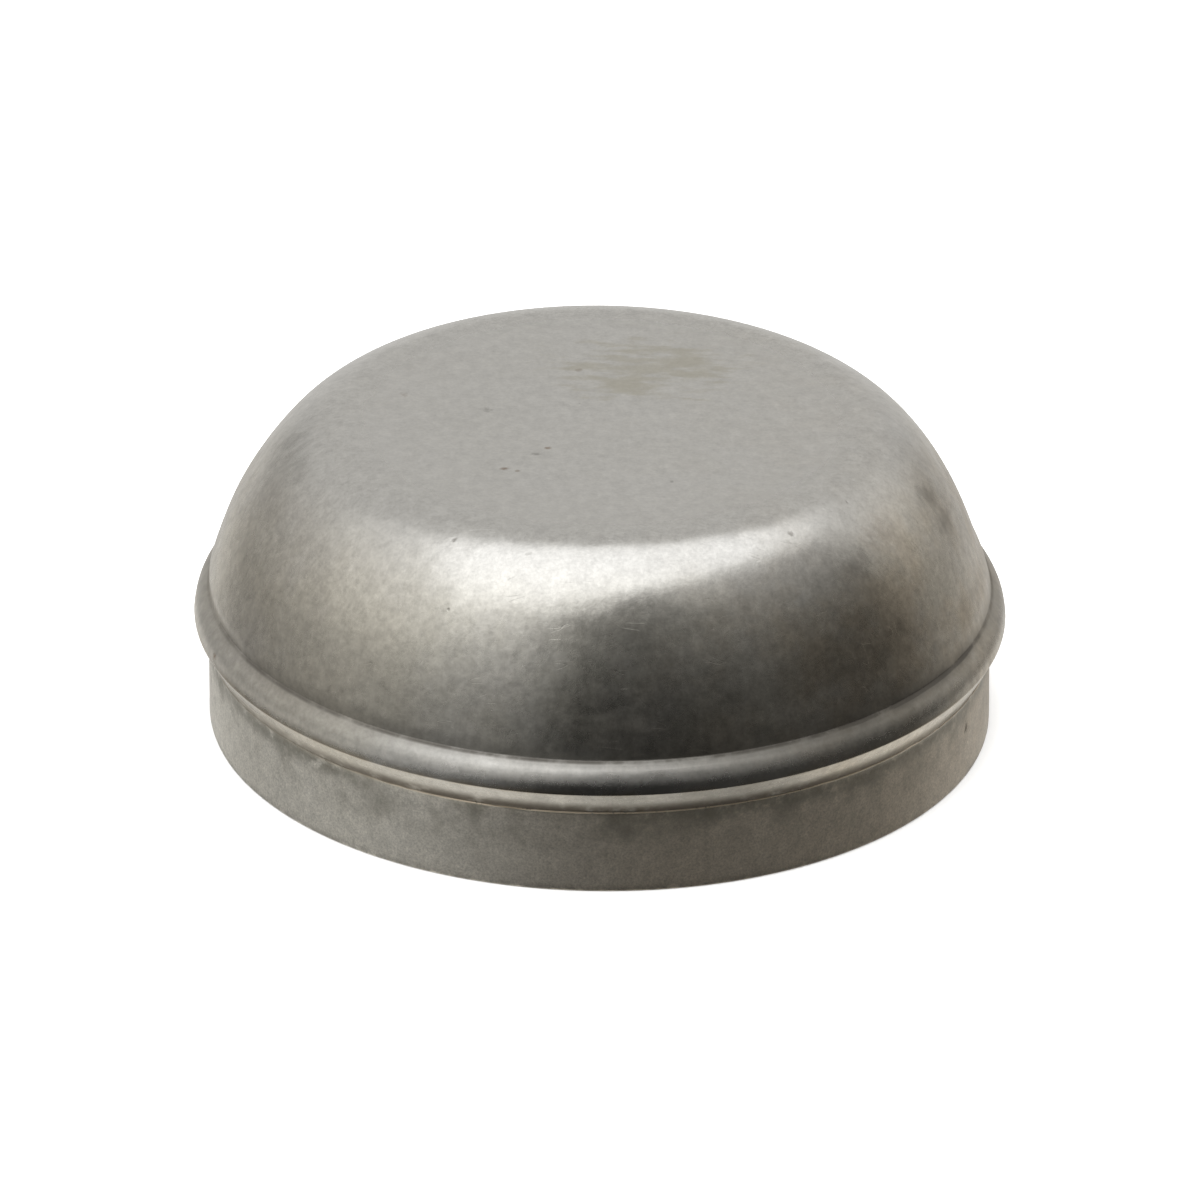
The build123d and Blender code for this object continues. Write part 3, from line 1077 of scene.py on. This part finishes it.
    def roughness(self, graph: Graph, place: bpy.types.NodeSocket, film: bpy.types.NodeSocket,
                  folds: dict[str, bpy.types.NodeSocket],
                  marks: dict[Mark, bpy.types.NodeSocket]) -> bpy.types.NodeSocket:
        """Roughness: a level for each stretch of the section, clouds on top, and dull blemishes.

        Args:
            graph: the material's graph.
            place: place on the cap in millimetres.
            film: share of dull film.
            folds: masks of the folds.
            marks: masks of the blemishes.

        Returns:
            The roughness.
        """
        level = graph.ramp(graph.mask("crown"), 0.0, 1.0, self.wall_roughness, self.crown_roughness)
        level = graph.ramp(graph.mask("shoulder"), 0.0, 1.0, level, self.shoulder_roughness)
        level = graph.ramp(graph.mask("bead"), 0.0, 1.0, level, self.bead_roughness)
        level = graph.ramp(graph.mask("skirt"), 0.0, 1.0, level, self.skirt_roughness)
        clouds = graph.math("SUBTRACT", graph.noise(place, 0.5, 5.0, 0.65), 0.5)
        level = graph.math("MULTIPLY_ADD", clouds, 0.25, level)
        level = graph.math("MULTIPLY_ADD", graph.math("MULTIPLY", film, graph.mask("bead")), 0.4, level)
        dull = graph.math("MAXIMUM", marks[Mark.RUST], marks[Mark.DIRT_AND_DARK_REFLECTION])
        dull = graph.math("MAXIMUM", dull, graph.math("MAXIMUM", folds["crease"], folds["root"]))
        dull = graph.math("MAXIMUM", dull, graph.math("MULTIPLY", marks[Mark.OIL], 0.2))
        return graph.math("MULTIPLY_ADD", dull, 0.3, level, clamp=True)

    def relief(self, graph: Graph, effects: SurfaceEffects, place: bpy.types.NodeSocket,
               grain: bpy.types.Node, streaks: bpy.types.NodeSocket,
               marks: dict[Mark, bpy.types.NodeSocket]) -> bpy.types.NodeSocket:
        """Fine relief in millimetres: grain, gentle unevenness, drawing and rolling marks, scratches, pits.

        Args:
            graph: the material's graph.
            effects: the shared node groups.
            place: place on the cap in millimetres.
            grain: the grain group's node.
            streaks: the drawing streaks.
            marks: masks of the blemishes.

        Returns:
            The normal.
        """
        depth = graph.math("MULTIPLY_ADD", graph.mask("bead"), -0.7 * self.grain_depth, self.grain_depth)
        height = graph.math("MULTIPLY", grain.outputs["Height"], depth)
        height = graph.math("MULTIPLY_ADD", graph.noise(place, 0.22, 2.0, 0.5), self.uneven_depth, height)
        height = graph.math("MULTIPLY_ADD", graph.noise(place, 0.6, 2.0, 0.5), self.dimple_depth, height)
        drawn = graph.math("MULTIPLY", streaks, graph.mask("wall"))
        height = graph.math("MULTIPLY_ADD", drawn, self.streak_depth, height)
        rings = graph.group(effects.rings, Place=place, Fineness=5.0).outputs[0]
        rolled = graph.math("MULTIPLY", rings, graph.mask("bead"))
        height = graph.math("MULTIPLY_ADD", rolled, self.ring_depth, height)
        for turn in ((0.3, 0.2, 0.7), (0.1, 0.9, 2.2)):
            scratch = graph.group(effects.scratches, Place=place, Turn=turn, Width=0.005,
                                  Patches=0.57).outputs[0]
            scratch = graph.math("MULTIPLY", scratch, graph.math("SUBTRACT", 1.0, graph.mask("bead")))
            height = graph.math("MULTIPLY_ADD", scratch, -self.scratch_depth, height)
        height = graph.math("MULTIPLY_ADD", marks[Mark.PIT], -self.pit_depth, height)
        bump = graph.add("ShaderNodeBump")
        bump.inputs["Strength"].default_value = 1.0
        bump.inputs["Distance"].default_value = MM
        graph.feed(bump.inputs["Height"], height)
        return bump.outputs["Normal"]


@dataclass(frozen=True)
class InnerSteel:
    """Inside of the cap: the same sheet, duller, with a film of drawing oil and stains."""
    name: str = "steel_inside"
    clean: Colour = (0.5, 0.49, 0.465, 1.0)
    film: Colour = (0.36, 0.33, 0.27, 1.0)
    dark: Colour = (0.2, 0.18, 0.15, 1.0)
    roughness: float = 0.4
    grain_depth: float = 0.006
    streak_depth: float = 0.004

    def make(self, effects: SurfaceEffects) -> bpy.types.Material:
        """Builds the material.

        Args:
            effects: the shared node groups.

        Returns:
            The material.
        """
        material = bpy.data.materials.new(self.name)
        material.use_nodes = True
        graph = Graph(material.node_tree)
        shader = material.node_tree.nodes["Principled BSDF"]
        shader.inputs["Metallic"].default_value = 1.0
        place = graph.scaled(graph.add("ShaderNodeTexCoord").outputs["Object"], 1.0 / MM)
        grain = graph.group(effects.grain, Place=place, Fineness=3.0, Contrast=0.5)
        streaks = graph.group(effects.streaks, Place=place, Across=0.8, Along=0.08).outputs[0]
        film = graph.group(effects.patches, Place=place, Mask=1.0, Scale=0.12, Cover=0.5,
                           Softness=0.3).outputs[0]
        colour = graph.blend(film, self.clean, self.film)
        colour = graph.blend(graph.ramp(streaks, 0.5, 0.8, 0.0, 0.35), colour, self.dark)
        patch = graph.group(effects.patches, Place=place, Mask=1.0, Scale=0.6, Cover=0.25).outputs[0]
        colour = graph.blend(graph.math("MULTIPLY", patch, 0.5), colour, self.dark)
        graph.feed(shader.inputs["Base Color"], graph.shaded(colour, grain.outputs["Shade"]))
        graph.feed(shader.inputs["Roughness"], graph.math("MULTIPLY_ADD", film, 0.12, self.roughness))
        height = graph.math("MULTIPLY", grain.outputs["Height"], self.grain_depth)
        height = graph.math("MULTIPLY_ADD", streaks, self.streak_depth, height)
        bump = graph.add("ShaderNodeBump")
        bump.inputs["Distance"].default_value = MM
        graph.feed(bump.inputs["Height"], height)
        graph.feed(shader.inputs["Normal"], bump.outputs["Normal"])
        return material


# Studio

def direction(azimuth: float, elevation: float) -> Vector:
    """Unit vector from the cap: azimuth 0 is the front, 90 the right, and elevation is above the table."""
    across = math.cos(math.radians(elevation))
    return Vector((across * math.sin(math.radians(azimuth)), -across * math.cos(math.radians(azimuth)),
                   math.sin(math.radians(elevation))))


@dataclass(frozen=True)
class Glow:
    """Soft round patch of light in the tent: where it is, how far it reaches and how much it adds."""
    azimuth: float
    elevation: float
    core: float
    reach: float
    level: float

    def add(self, graph: "Graph", ray: bpy.types.NodeSocket, level: bpy.types.NodeSocket) -> bpy.types.NodeSocket:
        """Adds the patch to a level of light.

        Args:
            graph: the world's graph.
            ray: direction that is read.
            level: light without the patch.

        Returns:
            Light with the patch.
        """
        facing = graph.vector("DOT_PRODUCT", ray, direction(self.azimuth, self.elevation))
        patch = graph.ramp(facing, math.cos(math.radians(self.reach)), math.cos(math.radians(self.core)),
                           0.0, self.level)
        return graph.math("ADD", level, patch)


@dataclass(frozen=True)
class LightTent:
    """White tent round the cap: a long roof panel, grey walls and a dark opening at the front right."""
    wall_tint: Colour = (1.0, 0.985, 0.955, 1.0)
    roof_tint: Colour = (1.0, 1.0, 1.0, 1.0)
    table_tint: Colour = (1.0, 0.955, 0.87, 1.0)
    wall_low: float = 0.31
    wall_high: float = 0.68
    wall_below: float = 0.64
    roof: float = 1.76
    roof_far: float = 1.5
    roof_azimuth: float = -51.0
    roof_length: float = 0.77
    roof_width: float = 0.48
    roof_shift: tuple[float, float] = (0.07, 0.03)
    roof_edge: tuple[float, float] = (0.72, 1.1)
    glows: tuple[Glow, ...] = (Glow(-75.0, 48.0, 8.0, 42.0, 0.32), Glow(122.0, -38.0, 10.0, 40.0, 0.32),
                               Glow(180.0, -26.0, 10.0, 50.0, 0.38), Glow(-35.0, -4.0, 5.0, 38.0, -0.14),
                               Glow(-118.0, -66.0, 8.0, 36.0, 0.32), Glow(122.0, 20.0, 5.0, 32.0, 0.12),
                               Glow(-143.0, -21.0, 3.0, 21.0, 0.2), Glow(112.0, -12.0, 4.0, 22.0, -0.1))
    opening_glows: tuple[Glow, ...] = (Glow(98.0, -52.0, 4.0, 21.0, 0.26), Glow(48.0, 57.0, 3.0, 15.0, 0.2))
    opening_azimuth: float = 43.5
    opening_inside: float = 42.0
    opening_outside: float = 79.0
    opening_spread: float = 0.3
    opening_low: float = 0.032
    opening_rise: float = 0.48
    opening_below: float = 0.62
    backdrop: float = 0.95

    def build(self) -> None:
        """Makes the tent as the world's light, read by direction. The camera sees a plain pale backdrop."""
        world = bpy.data.worlds.new("light_tent")
        bpy.context.scene.world = world
        world.use_nodes = True
        graph = Graph(world.node_tree)
        ray = graph.add("ShaderNodeTexCoord").outputs["Generated"]
        parts = graph.add("ShaderNodeSeparateXYZ")
        graph.feed(parts.inputs[0], ray)
        up = parts.outputs[2]
        walls = graph.ramp(up, -0.25, 0.5, self.wall_low, self.wall_high)
        walls = graph.math("ADD", walls, graph.ramp(up, -0.99, -0.5, self.wall_below - self.wall_low, 0.0))
        for glow in self.glows:
            walls = glow.add(graph, ray, walls)
        inside = graph.math("POWER", graph.math("MAXIMUM", up, 0.0), 2.2)
        inside = graph.math("MULTIPLY_ADD", inside, self.opening_rise, self.opening_low)
        inside = graph.math("MULTIPLY", inside, graph.ramp(parts.outputs[0], 0.1, 0.95, 0.75, 1.95))
        inside = graph.math("ADD", inside, graph.ramp(up, -1.0, -0.88, self.opening_below, 0.0))
        dark = self.dark(graph, ray, up)
        level = graph.math("MULTIPLY_ADD", dark, graph.math("SUBTRACT", inside, walls), walls)
        for glow in self.opening_glows:
            level = glow.add(graph, ray, level)
        lit = self.lit(graph, ray, up)
        near = graph.vector("DOT_PRODUCT", ray, direction(self.roof_azimuth, 0.0))
        roof = graph.ramp(near, -0.35, 0.3, self.roof_far, self.roof)
        level = graph.math("MULTIPLY_ADD", lit, graph.math("SUBTRACT", roof, level), level)
        seen = graph.add("ShaderNodeLightPath").outputs["Is Camera Ray"]
        level = graph.math("MULTIPLY_ADD", seen, graph.math("SUBTRACT", self.backdrop, level), level)
        background = world.node_tree.nodes["Background"]
        tint = graph.blend(graph.ramp(up, -0.95, -0.4, 1.0, 0.0), self.wall_tint, self.table_tint)
        graph.feed(background.inputs["Color"], graph.blend(lit, tint, self.roof_tint))
        graph.feed(background.inputs["Strength"], level)

    def dark(self, graph: Graph, ray: bpy.types.NodeSocket, up: bpy.types.NodeSocket) -> bpy.types.NodeSocket:
        """Mask of the opening, by the angle round the axis. It spreads on the way down, most to the left.

        Args:
            graph: the world's graph.
            ray: direction that is read.
            up: upward part of that direction.

        Returns:
            The mask.
        """
        level = graph.vector("NORMALIZE", graph.vector("MULTIPLY", ray, (1.0, 1.0, 0.0)))
        facing = graph.vector("DOT_PRODUCT", level, direction(self.opening_azimuth, 0.0))
        sideways = graph.vector("DOT_PRODUCT", level, direction(self.opening_azimuth - 90.0, 0.0))
        spread = graph.math("MULTIPLY", graph.math("SUBTRACT", 0.35, up), self.opening_spread)
        sideways = graph.math("MULTIPLY_ADD", graph.math("ABSOLUTE", sideways), 1.5, sideways)
        spread = graph.math("MULTIPLY", spread, 0.4)
        facing = graph.math("MULTIPLY_ADD", sideways, spread, facing)
        return graph.ramp(facing, math.cos(math.radians(self.opening_outside)),
                          math.cos(math.radians(self.opening_inside)))

    def lit(self, graph: Graph, ray: bpy.types.NodeSocket,
            up: bpy.types.NodeSocket) -> bpy.types.NodeSocket:
        """Mask of the roof panel: an ellipse seen from below, with a soft edge.

        Args:
            graph: the world's graph.
            ray: direction that is read.
            up: upward part of that direction.

        Returns:
            The mask.
        """
        sums = None
        for turn, shift, reach in ((0.0, self.roof_shift[0], self.roof_length),
                                   (90.0, self.roof_shift[1], self.roof_width)):
            part = graph.vector("DOT_PRODUCT", ray, direction(self.roof_azimuth + turn, 0.0))
            part = graph.math("DIVIDE", graph.math("SUBTRACT", part, shift), reach)
            part = graph.math("MULTIPLY", part, part)
            sums = part if sums is None else graph.math("ADD", sums, part)
        panel = graph.ramp(graph.math("SQRT", sums), *self.roof_edge, 1.0, 0.0)
        return graph.math("MULTIPLY", panel, graph.math("GREATER_THAN", up, 0.0))


@dataclass(frozen=True)
class Lamp:
    """Square soft lamp that lights the table and leaves the steel's reflections to the tent."""
    name: str
    azimuth: float
    elevation: float
    distance: float
    side: float
    power: float

    def build(self) -> None:
        """Makes the lamp, aimed at the cap."""
        data = bpy.data.lights.new(self.name, "AREA")
        data.shape = "SQUARE"
        data.size = self.side
        data.energy = self.power
        lamp = bpy.data.objects.new(self.name, data)
        bpy.context.scene.collection.objects.link(lamp)
        towards = direction(self.azimuth, self.elevation)
        lamp.location = towards * self.distance
        lamp.rotation_euler = towards.to_track_quat("Z", "Y").to_euler()
        lamp.visible_camera = False
        lamp.visible_glossy = False


@dataclass(frozen=True)
class Table:
    """Plain pale table top."""
    reach: float = 2.0
    pale: tuple[float, float, float, float] = (0.86, 0.86, 0.855, 1.0)
    deep: tuple[float, float, float, float] = (0.84, 0.84, 0.835, 1.0)
    lift: float = 0.15

    def build(self) -> bpy.types.Object:
        """Makes the table top as a flat square, level with the cap's rim.

        Returns:
            The table top.
        """
        side = np.array([-self.reach, self.reach])
        across, back = np.meshgrid(side, side)
        points = np.stack([across.ravel(), back.ravel(), np.zeros(4)], axis=1)
        mesh = bpy.data.meshes.new("table_top")
        mesh.from_pydata(points.tolist(), [], [(0, 1, 3, 2)])
        material = bpy.data.materials.new("pale_table")
        material.use_nodes = True
        graph = Graph(material.node_tree)
        shader = material.node_tree.nodes["Principled BSDF"]
        clear = graph.add("ShaderNodeBsdfTransparent")
        sides = graph.add("ShaderNodeMixShader")
        graph.feed(sides.inputs[0], graph.add("ShaderNodeNewGeometry").outputs["Backfacing"])
        graph.feed(sides.inputs[1], shader.outputs[0])
        graph.feed(sides.inputs[2], clear.outputs[0])
        graph.feed(material.node_tree.nodes["Material Output"].inputs["Surface"], sides.outputs[0])
        shader.inputs["Roughness"].default_value = 0.9
        shader.inputs["Specular IOR Level"].default_value = 0.1
        shader.inputs["Emission Color"].default_value = (1.0, 1.0, 1.0, 1.0)
        shader.inputs["Emission Strength"].default_value = self.lift
        place = graph.add("ShaderNodeTexCoord").outputs["Object"]
        graph.feed(shader.inputs["Base Color"], graph.blend(graph.noise(place, 30.0), self.pale, self.deep))
        mesh.materials.append(material)
        table = bpy.data.objects.new("table_top", mesh)
        bpy.context.scene.collection.objects.link(table)
        table.visible_glossy = False
        return table


@dataclass(frozen=True)
class PhotoCamera:
    """Camera at the photograph's angle: a long lens from in front and above."""
    elevation: float = 26.55
    distance: float = 0.7
    pivot: float = 0.012
    aim: float = 0.0094
    lens: float = 266.1
    sensor: float = 36.0
    roll: float = 0.73

    def build(self) -> None:
        """Makes the camera and gives it to the scene."""
        data = bpy.data.cameras.new("photo_camera")
        data.lens = self.lens
        data.sensor_width = self.sensor
        data.clip_start = 0.01
        camera = bpy.data.objects.new("photo_camera", data)
        bpy.context.scene.collection.objects.link(camera)
        camera.location = Vector((0.0, 0.0, self.pivot)) + direction(0.0, self.elevation) * self.distance
        towards = Vector((0.0, 0.0, self.aim)) - camera.location
        turned = towards.to_track_quat("-Z", "Y").to_matrix() @ Matrix.Rotation(math.radians(self.roll), 3, "Z")
        camera.rotation_euler = turned.to_euler()
        bpy.context.scene.camera = camera


def main() -> None:
    """Builds the cap, its finishes and the studio, and reports each piece."""
    logging.basicConfig(level=logging.INFO, format="%(name)s: %(message)s")
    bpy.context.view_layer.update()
    low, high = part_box(NODE)
    cap = GreaseCap(bead_radius=min(high.x, high.y) / MM, cap_height=high.z / MM)
    effects = SurfaceEffects.make()
    shell = cap.build()
    cap.dress(shell, OuterSteel().make(effects), InnerSteel().make(effects))
    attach(shell, "root")
    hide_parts(NODE)
    log.info("%s: %d faces, %d points", shell.name, len(shell.data.polygons), len(shell.data.vertices))
    table = Table().build()
    log.info("%s: stage", table.name)
    LightTent().build()
    Lamp("table_lamp", -20.0, 82.0, 0.8, 1.0, 12.0).build()
    PhotoCamera().build()
    bpy.context.scene.view_settings.view_transform = "Standard"


if __name__ == "__main__":
    main()
